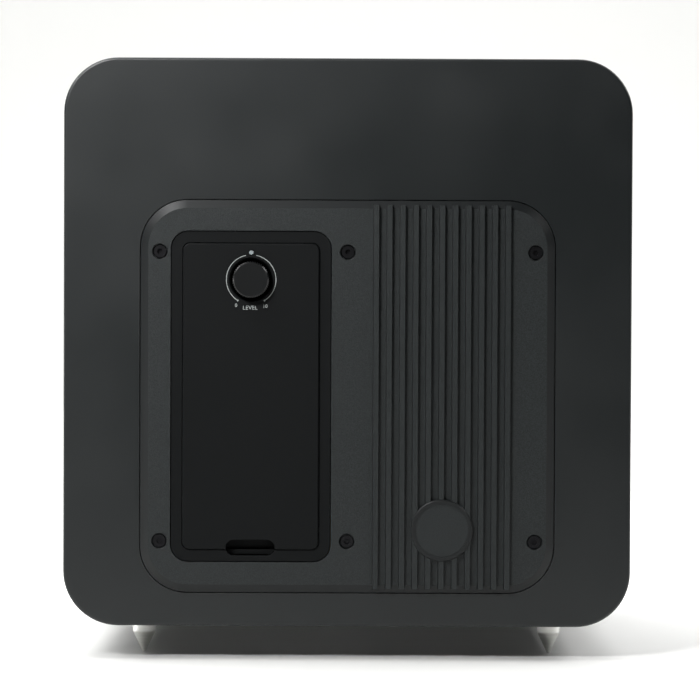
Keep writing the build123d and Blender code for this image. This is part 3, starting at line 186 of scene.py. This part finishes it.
def plateFinish():
    material, tree, shader, place = newMaterial("powderCoatedCasting")
    grain = addNode(tree, "ShaderNodeTexNoise", {
        "Vector": place, "Scale": 1 / (castPlate["grain"] * mm), "Detail": 2, "Roughness": 0.7})
    facing = addNode(tree, "ShaderNodeNewGeometry").outputs["Normal"]
    faceParts = addNode(tree, "ShaderNodeSeparateXYZ", {"Vector": facing})
    placeParts = addNode(tree, "ShaderNodeSeparateXYZ", {"Vector": place})
    flat = addNode(tree, "ShaderNodeMath", {0: faceParts.outputs["Y"], 1: 0.97},
                   operation="GREATER_THAN")
    level = addNode(tree, "ShaderNodeMath", {
        0: placeParts.outputs["Y"], 1: backY + (castPlate["rise"] + 0.5) * mm}, operation="LESS_THAN")
    grained = addNode(tree, "ShaderNodeMath", {0: flat.outputs[0], 1: level.outputs[0]},
                      operation="MULTIPLY")
    spread = addNode(tree, "ShaderNodeMapRange", {
        "Value": grain.outputs["Fac"], "From Min": 0.34, "From Max": 0.68})
    speckle = addNode(tree, "ShaderNodeMix", {
        "Factor": spread.outputs["Result"], "A": linearColour(castPlate["dark"]),
        "B": linearColour(castPlate["light"])}, data_type="RGBA")
    shade = addNode(tree, "ShaderNodeMix", {
        "Factor": grained.outputs[0], "A": linearColour(castPlate["smooth"]),
        "B": speckle.outputs["Result"]}, data_type="RGBA")
    tree.links.new(shade.outputs["Result"], shader.inputs["Base Color"])
    height = addNode(tree, "ShaderNodeMath", {0: grain.outputs["Fac"], 1: grained.outputs[0]},
                     operation="MULTIPLY")
    relief = addNode(tree, "ShaderNodeBump", {
        "Height": height.outputs[0], "Strength": 0.7, "Distance": castPlate["depth"] * mm})
    tree.links.new(relief.outputs["Normal"], shader.inputs["Normal"])
    shader.inputs["Roughness"].default_value = castPlate["rough"]
    shader.inputs["Specular IOR Level"].default_value = castPlate["specular"]
    return material


# Knitted polyester stretched over the grille: 1.2 mm stitches, each a small bump with open holes between.
# Each stitch's middle is painted lighter, a painted sheen, and its edges and the holes darker, painted
# shade, so the cloth looks dull black with a fine regular sparkle.
grilleKnitAndPaintedSheen = dict(light="#232425", dark="#070707", stitch=1.2, depth=0.25)


def knitFinish():
    material, tree, shader, place = newMaterial("knittedPolyesterWithPaintedSheen")
    step = 1 / (grilleKnitAndPaintedSheen["stitch"] * mm)
    turned = addNode(tree, "ShaderNodeMapping", {
        "Vector": place, "Rotation": (0, math.radians(45), 0), "Scale": (step, step, step)})
    stitches = addNode(tree, "ShaderNodeTexVoronoi", {
        "Vector": turned.outputs["Vector"], "Scale": 1.0, "Randomness": 0.12})
    uneven = addNode(tree, "ShaderNodeTexNoise", {"Vector": place, "Scale": 45, "Detail": 2})
    # Painted light: each stitch is painted lighter towards its middle (painted sheen) and darker at its
    # edges and in the holes (painted shade).
    shade = addNode(tree, "ShaderNodeMix", {
        "Factor": stitches.outputs["Distance"], "A": linearColour(grilleKnitAndPaintedSheen["light"]),
        "B": linearColour(grilleKnitAndPaintedSheen["dark"])}, data_type="RGBA")
    aged = addNode(tree, "ShaderNodeMix", {
        "Factor": uneven.outputs["Fac"], "A": shade.outputs["Result"],
        "B": linearColour("#1a1b1c")}, data_type="RGBA")
    tree.links.new(aged.outputs["Result"], shader.inputs["Base Color"])
    relief = addNode(tree, "ShaderNodeBump", {
        "Height": stitches.outputs["Distance"], "Strength": 0.8,
        "Distance": grilleKnitAndPaintedSheen["depth"] * mm}, invert=True)
    tree.links.new(relief.outputs["Normal"], shader.inputs["Normal"])
    shader.inputs["Roughness"].default_value = 0.9
    shader.inputs["Sheen Weight"].default_value = 0.25
    shader.inputs["Sheen Roughness"].default_value = 0.4
    return material


# Steel bar turned on a lathe, blasted and nickel plated: pale and matt, with faint rings round the axis.
turnedSteel = dict(light="#ecece8", dark="#d2d3cf", pitch=0.5, rough=0.5)


def turnedFinish():
    material, tree, shader, place = newMaterial("turnedNickelSteel")
    stretched = addNode(tree, "ShaderNodeMapping", {
        "Vector": place, "Scale": (30, 30, 1 / (turnedSteel["pitch"] * mm))})
    rings = addNode(tree, "ShaderNodeTexNoise", {
        "Vector": stretched.outputs["Vector"], "Scale": 1.0, "Detail": 2})
    shade = addNode(tree, "ShaderNodeMix", {
        "Factor": rings.outputs["Fac"], "A": linearColour(turnedSteel["dark"]),
        "B": linearColour(turnedSteel["light"])}, data_type="RGBA")
    tree.links.new(shade.outputs["Result"], shader.inputs["Base Color"])
    relief = addNode(tree, "ShaderNodeBump", {
        "Height": rings.outputs["Fac"], "Strength": 0.2, "Distance": 0.02 * mm})
    tree.links.new(relief.outputs["Normal"], shader.inputs["Normal"])
    shader.inputs["Metallic"].default_value = 1.0
    shader.inputs["Roughness"].default_value = turnedSteel["rough"]
    return material


# Glass-epoxy board: green solder mask over copper tracks, drawn as a coarse grid of tracks.
boardMask = dict(mask="#17442c", track="#2d6a45", trackPitch=4.0)


def boardFinish():
    material, tree, shader, place = newMaterial("solderMaskedBoard")
    scaled = addNode(tree, "ShaderNodeVectorMath", {
        0: place, "Scale": 1 / (boardMask["trackPitch"] * mm)}, operation="SCALE")
    cells = addNode(tree, "ShaderNodeTexVoronoi", {
        "Vector": scaled.outputs["Vector"], "Scale": 1.0}, distance="MANHATTAN",
        feature="F1")
    tracks = addNode(tree, "ShaderNodeMath", {0: cells.outputs["Distance"], 1: 0.42},
                     operation="GREATER_THAN")
    shade = addNode(tree, "ShaderNodeMix", {
        "Factor": tracks.outputs[0], "A": linearColour(boardMask["mask"]),
        "B": linearColour(boardMask["track"])}, data_type="RGBA")
    tree.links.new(shade.outputs["Result"], shader.inputs["Base Color"])
    shader.inputs["Roughness"].default_value = 0.3
    return material


# Polyester tape wound round the toroid: overlapping amber bands that lean like spokes.
windingTape = dict(light="#b98a3a", dark="#8a6122", turns=64)


def tapeFinish():
    material, tree, shader, place = newMaterial("windingTape")
    low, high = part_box("transformer")
    middle = (low + high) / 2
    centred = addNode(tree, "ShaderNodeVectorMath", {0: place, 1: tuple(middle)},
                      operation="SUBTRACT")
    parts = addNode(tree, "ShaderNodeSeparateXYZ", {"Vector": centred.outputs["Vector"]})
    angle = addNode(tree, "ShaderNodeMath", {0: parts.outputs["Y"], 1: parts.outputs["X"]},
                    operation="ARCTAN2")
    turns = addNode(tree, "ShaderNodeMath", {
        0: angle.outputs[0], 1: windingTape["turns"] / (2 * math.pi)}, operation="MULTIPLY")
    band = addNode(tree, "ShaderNodeMath", {0: turns.outputs[0], 1: 1.0}, operation="WRAP")
    shade = addNode(tree, "ShaderNodeMix", {
        "Factor": band.outputs[0], "A": linearColour(windingTape["dark"]),
        "B": linearColour(windingTape["light"])}, data_type="RGBA")
    tree.links.new(shade.outputs["Result"], shader.inputs["Base Color"])
    relief = addNode(tree, "ShaderNodeBump", {
        "Height": band.outputs[0], "Strength": 0.5, "Distance": 0.1 * mm})
    tree.links.new(relief.outputs["Normal"], shader.inputs["Normal"])
    shader.inputs["Roughness"].default_value = 0.35
    return material


# Frosted clear acrylic rod: pale grey with the status light off.
lightPipe = dict(colour="#9aa2a4", rough=0.35)


def pipeFinish():
    material, tree, shader, place = newMaterial("frostedAcrylic")
    haze = addNode(tree, "ShaderNodeTexNoise", {"Vector": place, "Scale": 900, "Detail": 2})
    shade = addNode(tree, "ShaderNodeMix", {
        "Factor": haze.outputs["Fac"], "A": linearColour("#7c8587"),
        "B": linearColour(lightPipe["colour"])}, data_type="RGBA")
    tree.links.new(shade.outputs["Result"], shader.inputs["Base Color"])
    shader.inputs["Roughness"].default_value = lightPipe["rough"]
    shader.inputs["IOR"].default_value = 1.49
    return material


materials["castPlate"] = plateFinish()
materials["grilleKnitAndPaintedSheen"] = knitFinish()
materials["turnedSteel"] = turnedFinish()
materials["boardMask"] = boardFinish()
materials["windingTape"] = tapeFinish()
materials["lightPipe"] = pipeFinish()
print("special finishes made")

nodeFinishes = {
    "satinLacquer": ["cabinet_wrap", "front_baffle", "rear_board"],
    "rawFibreboard": ["window_brace"],
    "mouldedAbs": ["bay_tray", "rear_cover", "grille_frame", "phase_switch_housing"],
    "smoothAbs": ["level_knob", "crossover_knob", "level_pot", "crossover_pot", "line_in_block",
                  "mains_inlet", "power_switch_housing", "power_rocker", "output_transistors"],
    "whiteNylon": ["phase_slider"],
    "blackOxideSteel": ["amp_plate_screws", "driver_screws"],
    "zincSteel": ["tray_screws", "board_screws", "level_shaft", "magnet_top_plate", "magnet_yoke",
                  "mains_pins", "transformer_clamp", "transformer_bolt"],
    "nickelMagnet": ["grille_magnets", "baffle_magnets", "tray_magnets", "cover_magnets"],
    "butylRubber": ["surround"],
    "foamTape": ["driver_gasket", "amp_seal"],
    "pulpPaper": ["cone", "dust_cap"],
    "dippedCotton": ["spider"],
    "basketPowder": ["driver_basket"],
    "sinteredFerrite": ["magnet_ring"],
    "drawnAluminium": ["voice_coil_former"],
    "enamelledCopper": ["voice_coil_winding"],
    "goldFlash": ["line_in_shells", "driver_terminals"],
    "shrinkSleeve": ["reservoir_capacitors"],
    "redVinyl": ["speaker_lead_red"],
    "blackVinyl": ["speaker_lead_black"],
    "castPlate": ["amp_plate"],
    "grilleKnitAndPaintedSheen": ["grille_cloth"],
    "turnedSteel": ["spike_inserts", "spike_front_left", "spike_front_right", "spike_rear_left",
                    "spike_rear_right"],
    "boardMask": ["input_board", "power_board"],
    "windingTape": ["transformer"],
    "lightPipe": ["status_led", "status_light_pipe"],
}
for finish, names in nodeFinishes.items():
    for name in names:
        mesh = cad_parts[name].data
        mesh.materials.clear()
        mesh.materials.append(materials[finish])
print("frame nodes finished")


def addPiece(name, mesh, material, body):
    mesh.materials.clear()
    mesh.materials.append(material)
    piece = bpy.data.objects.new(name, mesh)
    bpy.context.scene.collection.objects.link(piece)
    if body:
        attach(piece, body)
    return piece


# Copies of machined and moulded parts whose edges get the small radius that real ones have.
easedEdges = {
    "amp_plate": ("platePowdered", 0.35, "cabinet", "castPlate"),
    "rear_board": ("rearBoardLacquered", 0.4, "cabinet", "satinLacquer"),
    "rear_cover": ("coverMoulded", 0.35, "cover", "mouldedAbs"),
    "bay_tray": ("trayMoulded", 0.25, "cabinet", "mouldedAbs"),
    "grille_frame": ("grilleFrameMoulded", 0.5, "grille", "mouldedAbs"),
    "level_knob": ("levelKnobMoulded", 0.3, "level_control", "smoothAbs"),
    "amp_plate_screws": ("plateScrewsMachined", 0.18, "cabinet", "blackOxideSteel"),
    "spike_inserts": ("spikeInsertsTurned", 0.2, "cabinet", "turnedSteel"),
    "spike_front_left": ("spikeFrontLeftTurned", 0.2, "foot_front_left", "turnedSteel"),
    "spike_front_right": ("spikeFrontRightTurned", 0.2, "foot_front_right", "turnedSteel"),
    "spike_rear_left": ("spikeRearLeftTurned", 0.2, "foot_rear_left", "turnedSteel"),
    "spike_rear_right": ("spikeRearRightTurned", 0.2, "foot_rear_right", "turnedSteel"),
}


def easeEdges(nodeName, pieceName, radius, body, finish):
    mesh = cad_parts[nodeName].data.copy()
    work = bmesh.new()
    work.from_mesh(mesh)
    bmesh.ops.remove_doubles(work, verts=work.verts, dist=2e-6)
    bmesh.ops.dissolve_limit(work, angle_limit=math.radians(0.5), verts=work.verts, edges=work.edges)
    work.to_mesh(mesh)
    work.free()
    mesh.set_sharp_from_angle(angle=math.radians(28))
    piece = addPiece(pieceName, mesh, materials[finish], body)
    bevel = piece.modifiers.new("easedEdge", "BEVEL")
    bevel.width = radius * mm
    bevel.segments = 2
    bevel.limit_method = "ANGLE"
    bevel.angle_limit = math.radians(28)
    bevel.use_clamp_overlap = True
    weighted = piece.modifiers.new("flatFaces", "WEIGHTED_NORMAL")
    weighted.keep_sharp = True
    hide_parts(nodeName)
    return piece


for nodeName, (pieceName, radius, body, finish) in easedEdges.items():
    easeEdges(nodeName, pieceName, radius, body, finish)
print("eased edges made")


def ringSurface(name, rings, loop):
    # Closed rings of points joined by quads; loop joins the last ring to the first, and otherwise
    # both ends are capped. Faces are turned outward by the sign of the enclosed volume.
    count, around = rings.shape[:2]
    spans = count if loop else count - 1
    row = np.arange(spans)[:, None]
    column = np.arange(around)[None, :]
    below, beside = (row + 1) % count, (column + 1) % around
    quads = np.stack([row * around + column, row * around + beside, below * around + beside,
                      below * around + column], -1).reshape(-1, 4)
    points = rings.reshape(-1, 3)
    a, b, c, d = (points[quads[:, k]] for k in range(4))
    volume = (np.cross(a, b) * c).sum() + (np.cross(a, c) * d).sum()
    turn = 1 if volume >= 0 else -1
    faces = quads[:, ::turn].tolist()
    if not loop:
        first = list(range(around))[::-turn]
        last = [(count - 1) * around + k for k in range(around)][::turn]
        faces += [first, last]
    mesh = bpy.data.meshes.new(name)
    mesh.from_pydata(points.tolist(), [], faces)
    mesh.shade_smooth()
    mesh.set_sharp_from_angle(angle=math.radians(35))
    return mesh


def turnedProfile(radii, depths, segments):
    # A profile of radius and depth behind the baffle's face, swung round the woofer's axis.
    angle = np.linspace(0, 2 * math.pi, segments, endpoint=False)
    radii, depths = np.asarray(radii)[:, None] * mm, np.asarray(depths)[:, None] * mm
    return np.stack([wooferCentre.x + radii * np.cos(angle),
                     np.broadcast_to(frontY + depths, (len(radii), segments)),
                     wooferCentre.z + radii * np.sin(angle)], -1)


# Half-roll surround: a flat foot on the basket, one half circle, a flat lip on the cone.
rollShape = dict(foot=97.8, outer=90.0, inner=79.0, lip=73.0, gap=1.0, sheet=0.9)
# Corrugated spider: a cosine wave of 6 mm pitch between a flat rim and a flat collar.
spiderShape = dict(rim=62.0, waveEnd=53.0, waveStart=29.0, collar=25.06, depth=55.0, sheet=0.7)


def radialBlend(piece, fixedRadius, movingRadius):
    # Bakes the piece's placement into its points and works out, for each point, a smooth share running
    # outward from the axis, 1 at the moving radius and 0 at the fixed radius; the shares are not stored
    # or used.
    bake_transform(piece)
    places = np.zeros(len(piece.data.vertices) * 3, np.float32)
    piece.data.vertices.foreach_get("co", places)
    places = places.reshape(-1, 3)
    radius = np.hypot(places[:, 0] - wooferCentre.x, places[:, 2] - wooferCentre.z) / mm
    share = np.clip((fixedRadius - radius) / (fixedRadius - movingRadius), 0, 1)
    share = share * share * (3 - 2 * share)


def makeSurround():
    # The roll is half a circle between the foot and the lip, and its back the same less the sheet.
    shape = rollShape
    middle, radius = (shape["outer"] + shape["inner"]) / 2, (shape["outer"] - shape["inner"]) / 2
    arc = np.linspace(0, math.pi, 33)
    back = shape["gap"] + shape["sheet"]
    front = [(shape["foot"], shape["gap"] + 0.2), (shape["foot"] - 0.2, shape["gap"])]
    front += [(middle + radius * math.cos(t), shape["gap"] - radius * math.sin(t)) for t in arc]
    front += [(shape["lip"] + 0.2, shape["gap"]), (shape["lip"], shape["gap"] + 0.2)]
    thin = radius - shape["sheet"]
    rear = [(shape["lip"], back)]
    rear += [(middle - thin * math.cos(t), back - thin * math.sin(t)) for t in arc]
    rear += [(shape["foot"], back)]
    profile = np.array(front + rear)
    mesh = ringSurface("surroundRoll", turnedProfile(profile[:, 0], profile[:, 1], 192), True)
    piece = addPiece("surroundRoll", mesh, materials["butylRubber"], None)
    radialBlend(piece, shape["outer"], shape["inner"])
    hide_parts("surround")


def makeSpider():
    # Depth is a cosine of the radius, one wave for each 6 mm, and its back lies one sheet behind.
    shape = spiderShape
    wave = np.linspace(shape["waveStart"], shape["waveEnd"], 97)
    radii = np.concatenate([[shape["collar"]], wave, [shape["rim"]]])
    folds = np.cos((wave - shape["waveStart"]) * math.pi / 3)
    depths = shape["depth"] - 1.7 + 0.9 * np.concatenate([[1], folds, [1]])
    profile = np.concatenate([np.stack([radii, depths], -1),
                              np.stack([radii, depths + shape["sheet"]], -1)[::-1]])
    mesh = ringSurface("spiderDisc", turnedProfile(profile[:, 0], profile[:, 1], 160), True)
    piece = addPiece("spiderDisc", mesh, materials["dippedCotton"], None)
    radialBlend(piece, shape["rim"], shape["collar"])
    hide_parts("spider")


# Grille cloth: one square of knit, stretched over the frame and wrapped round its edge.
clothShape = dict(thickness=0.8, corner=28.0, edge=1.2, sag=0.35)


def roundedSquare(half, corner, perSide=40, perCorner=20):
    # One straight side and one quarter circle, turned by quarter turns about the middle.
    straight = np.linspace(-(half - corner), half - corner, perSide, endpoint=False)
    swing = np.linspace(0, math.pi / 2, perCorner, endpoint=False)
    side = np.stack([np.full(perSide, half), straight], -1)
    bend = np.stack([half - corner + corner * np.cos(swing),
                     half - corner + corner * np.sin(swing)], -1)
    quarter = np.concatenate([side, bend])
    spins = [np.array([[math.cos(t), -math.sin(t)], [math.sin(t), math.cos(t)]])
             for t in np.arange(4) * math.pi / 2]
    return np.concatenate([quarter @ spin.T for spin in spins])


def clothLayer(half, corner, edge, backPlace, frontPlace, sag):
    # Rings from the back edge, forward along the side, round the edge and in to the middle.
    # The middle gives by the square of one less the distance from it, times the sag.
    rings = []
    for step in np.linspace(0, 1, 5):
        outline = roundedSquare(half, corner)
        depth = backPlace + (frontPlace + edge - backPlace) * step
        rings.append(np.stack([outline[:, 0], np.full(len(outline), depth), outline[:, 1]], -1))
    for turn in np.linspace(0, math.pi / 2, 6)[1:]:
        inward = edge * (1 - math.cos(turn))
        outline = roundedSquare(half - inward, corner - inward)
        depth = frontPlace + edge * (1 - math.sin(turn))
        rings.append(np.stack([outline[:, 0], np.full(len(outline), depth), outline[:, 1]], -1))
    flat = roundedSquare(half - edge, corner - edge)
    for share in np.linspace(1, 0.004, 28)[1:]:
        give = sag * (1 - min(1.0, share / 0.7) ** 2) ** 2
        rings.append(np.stack([flat[:, 0] * share, np.full(len(flat), frontPlace + give),
                               flat[:, 1] * share], -1))
    return np.array(rings)


def makeCloth():
    low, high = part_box("grille_cloth")
    middle = (low + high) / 2
    shape = clothShape
    half = (high.x - low.x) / 2 / mm
    back, front = high.y / mm, low.y / mm
    outer = clothLayer(half, shape["corner"], shape["edge"], back, front, shape["sag"])
    thick = shape["thickness"] - 0.02
    inner = clothLayer(half - thick, shape["corner"] - thick, shape["edge"] - thick, back,
                       front + thick, shape["sag"])
    rings = np.concatenate([outer, inner[::-1]]) * mm
    rings[:, :, 0] += middle.x
    rings[:, :, 2] += middle.z
    mesh = ringSurface("grilleKnitCloth", rings, True)
    piece = addPiece("grilleKnitCloth", mesh, materials["grilleKnitAndPaintedSheen"], "grille")
    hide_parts("grille_cloth")


# Speaker leads, from the power board to the woofer's tags, in metres.
leadRoutes = {
    "speaker_lead_red": ("leadRed", "redVinyl", 0.2569, [
        (-0.0459, 0.13455, 0.1995), (-0.0459, 0.10855, 0.1995), (-0.0339, 0.07455, 0.2155),
        (-0.0199, 0.03655, 0.2435), (-0.002, -0.01145, 0.258), (0.004, -0.04885, 0.271),
        (0.006, -0.07185, 0.268), (0.006, -0.08285, 0.256), (0.006, -0.08285, 0.244)]),
    "speaker_lead_black": ("leadBlack", "blackVinyl", 0.2562, [
        (-0.0559, 0.13455, 0.1995), (-0.0559, 0.10855, 0.1995), (-0.0439, 0.07455, 0.2155),
        (-0.0299, 0.03655, 0.2435), (-0.014, -0.01145, 0.256), (-0.008, -0.04885, 0.271),
        (-0.006, -0.07185, 0.268), (-0.006, -0.08285, 0.256), (-0.006, -0.08285, 0.244)]),
}
leadDiameter = 0.0026


def makeLead(nodeName):
    pieceName, finish, length, route = leadRoutes[nodeName]
    curve = bpy.data.curves.new(pieceName, "CURVE")
    curve.dimensions = "3D"
    spline = curve.splines.new("NURBS")
    spline.points.add(len(route) - 1)
    for point, place in zip(spline.points, route):
        point.co = (*place, 1)
    spline.order_u = 3
    spline.use_endpoint_u = True
    spline.resolution_u = 12
    curve.bevel_depth = leadDiameter / 2
    curve.bevel_resolution = 5
    curve.use_fill_caps = True
    curve.materials.append(materials[finish])
    piece = bpy.data.objects.new(pieceName, curve)
    bpy.context.scene.collection.objects.link(piece)
    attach(piece, "cabinet")
    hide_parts(nodeName)


# Printed dial on the cover: an open ring round the knob, end marks, two end numbers and a plain label.
dialShape = dict(radius=13.06, stroke=0.38, gapFromTop=12.0, end=149.0, mark=0.9, ink=0.03)
dialWords = [("dialZero", "0", 1.9, -7.9, -13.6), ("dialTen", "10", 1.9, 7.4, -14.0),
             ("dialLabel", "LEVEL", 2.2, -0.5, -14.9)]


def makeDialRing():
    # Each arc is a thin slab: four rings of corners follow the arc, in and out, below and above.
    shape = dialShape
    face = coverY + 0.01 * mm
    work = bmesh.new()
    for side in (-1, 1):
        swing = np.radians(np.linspace(shape["gapFromTop"], shape["end"], 72))
        half = np.full(72, shape["stroke"] / 2)
        half[-2:] = shape["mark"] / 2
        corners = []
        for radial, rise in ((-1, 0), (1, 0), (1, 1), (-1, 1)):
            reach = (shape["radius"] + radial * half) * mm
            corners.append(np.stack([knobCentre.x - side * reach * np.sin(swing),
                                     np.full(72, face + rise * shape["ink"] * mm),
                                     knobCentre.z + reach * np.cos(swing)], -1))
        mesh = ringSurface("dialArc", np.array(corners).transpose(1, 0, 2), False)
        work.from_mesh(mesh)
        bpy.data.meshes.remove(mesh)
    ring = bpy.data.meshes.new("dialRing")
    work.to_mesh(ring)
    work.free()
    addPiece("dialRing", ring, materials["printedInk"], "cover")


def makeDialWord(name, words, size, right, up):
    text = bpy.data.curves.new(name, "FONT")
    text.body = words
    text.size = size * 1.38 * mm
    text.align_x, text.align_y = "CENTER", "CENTER"
    text.extrude = dialShape["ink"] / 2 * mm
    text.resolution_u = 4
    holder = bpy.data.objects.new(name, text)
    bpy.context.scene.collection.objects.link(holder)
    bpy.context.view_layer.update()
    mesh = bpy.data.meshes.new_from_object(holder.evaluated_get(bpy.context.evaluated_depsgraph_get()))
    bpy.data.objects.remove(holder)
    mesh.transform(Matrix(((-1, 0, 0, knobCentre.x - right * mm),
                           (0, 0, 1, coverY + 0.03 * mm),
                           (0, 1, 0, knobCentre.z + up * mm), (0, 0, 0, 1))))
    addPiece(name, mesh, materials["printedInk"], "cover")


makeSurround()
makeSpider()
makeCloth()
makeLead("speaker_lead_red")
makeLead("speaker_lead_black")
makeDialRing()
for word in dialWords:
    makeDialWord(*word)
print("woofer's soft parts, cloth, leads and dial made")

# Floor, light and camera.
studio = dict(floorShade="#f4f4f2", floorFront=7.0, wallStart=-3.5, wallBend=1.5, wallTop=4.0,
              halfWidth=9.0, air=0.02)
# distance is from the back's face, frameWidth is what the frame takes in there, roll is in degrees.
rearCamera = dict(distance=1.75, height=0.2, frameWidth=0.3694, roll=0.25, sensor=36.0,
                  side=0.0013, aimDrop=0.0038)
# Each lamp: its place, what it faces, width and height in metres, watts, spread in degrees. The two
# below the lid's plane, where the lacquer can't mirror them, reach under the cabinet.
lamps = {
    "keyFromUpperLeft": ((0.6, 1.3, 0.95), (0.14, 0.15, 0.34), 0.3, 0.2, 2.0, 50),
    "topAndFloor": ((0.32, 0.36, 0.75), (0.14, 0.15, 0.3), 0.3, 0.15, 1.4, 140),
    "leftOfFloor": ((1.3, -0.1, 1.2), (0, 0, 0), 0.8, 0.6, 4, 100),
    "rightOfFloor": ((-1.3, -0.1, 1.2), (0, 0, 0), 0.8, 0.6, 5, 100),
    "leftUnderneath": ((1.5, -0.1, 0.13), (0, 0, 0.02), 0.8, 0.2, 1.6, 100),
    "rightUnderneath": ((-1.5, -0.1, 0.13), (0, 0, 0.02), 0.8, 0.2, 1.0, 100),
    "floorFromAbove": ((0.0, -0.6, 1.7), (0, -0.5, 0), 2.6, 0.9, 8, 80),
    "backdropWash": ((0.0, -1.7, 2.4), (0, -2.8, 0.0), 4.0, 1.4, 130, 150),
}


def makeStudio():
    # A flat floor, then a quarter circle up into a wall far behind, so that no horizon shows.
    front, start, bend = studio["floorFront"], studio["wallStart"], studio["wallBend"]
    sweep = np.linspace(0, 1, 40)
    swing = (sweep - 0.5) * math.pi
    depth = np.where(sweep < 0.5, front - 2 * (front - start) * sweep, start - bend * np.sin(swing))
    height = np.where(sweep < 0.5, 0.0, bend - bend * np.cos(swing))
    depth = np.append(depth, start - bend)
    height = np.append(height, studio["wallTop"])
    across = np.array([-studio["halfWidth"], studio["halfWidth"]])
    grid = np.stack([np.repeat(across[None, :], len(depth), 0), np.repeat(depth[:, None], 2, 1),
                     np.repeat(height[:, None], 2, 1)], -1).reshape(-1, 3)
    rows = np.arange(len(depth) - 1)
    quads = np.stack([rows * 2, rows * 2 + 1, rows * 2 + 3, rows * 2 + 2], -1)
    mesh = bpy.data.meshes.new("studioFloor")
    mesh.from_pydata(grid.tolist(), [], quads.tolist())
    mesh.shade_smooth()
    material, tree, shader, place = newMaterial("studioPaper")
    shader.inputs["Base Color"].default_value = linearColour(studio["floorShade"])
    shader.inputs["Roughness"].default_value = 0.95
    floor = addPiece("studioFloor", mesh, material, None)


def softLight(name, place, target, width, height, power, spread):
    light = bpy.data.lights.new(name, "AREA")
    light.shape = "RECTANGLE"
    light.size = width
    light.size_y = height
    light.energy = power
    light.spread = math.radians(spread)
    lamp = bpy.data.objects.new(name, light)
    bpy.context.scene.collection.objects.link(lamp)
    lamp.location = place
    lamp.rotation_euler = (Vector(target) - Vector(place)).to_track_quat("-Z", "Y").to_euler()


makeStudio()
for name, lamp in lamps.items():
    softLight(name, *lamp)

world = bpy.data.worlds.new("studioAir")
world.use_nodes = True
world.node_tree.nodes["Background"].inputs["Color"].default_value = (1, 1, 1, 1)
world.node_tree.nodes["Background"].inputs["Strength"].default_value = studio["air"]
bpy.context.scene.world = world
bpy.context.scene.view_settings.view_transform = "Standard"

camera = bpy.data.cameras.new("rearView")
camera.sensor_width = rearCamera["sensor"]
camera.lens = rearCamera["sensor"] * rearCamera["distance"] / rearCamera["frameWidth"]
cameraObject = bpy.data.objects.new("rearView", camera)
bpy.context.scene.collection.objects.link(cameraObject)
cameraPlace = Vector((rearCamera["side"], backY + rearCamera["distance"], rearCamera["height"]))
aim = Vector((-rearCamera["side"], backY, cabinetCentre.z - rearCamera["aimDrop"]))
look = (aim - cameraPlace).to_track_quat("-Z", "Y").to_matrix().to_4x4()
cameraObject.matrix_world = (Matrix.Translation(cameraPlace) @ look
                             @ Matrix.Rotation(math.radians(rearCamera["roll"]), 4, "Z"))
bpy.context.scene.camera = cameraObject
print("studio made")
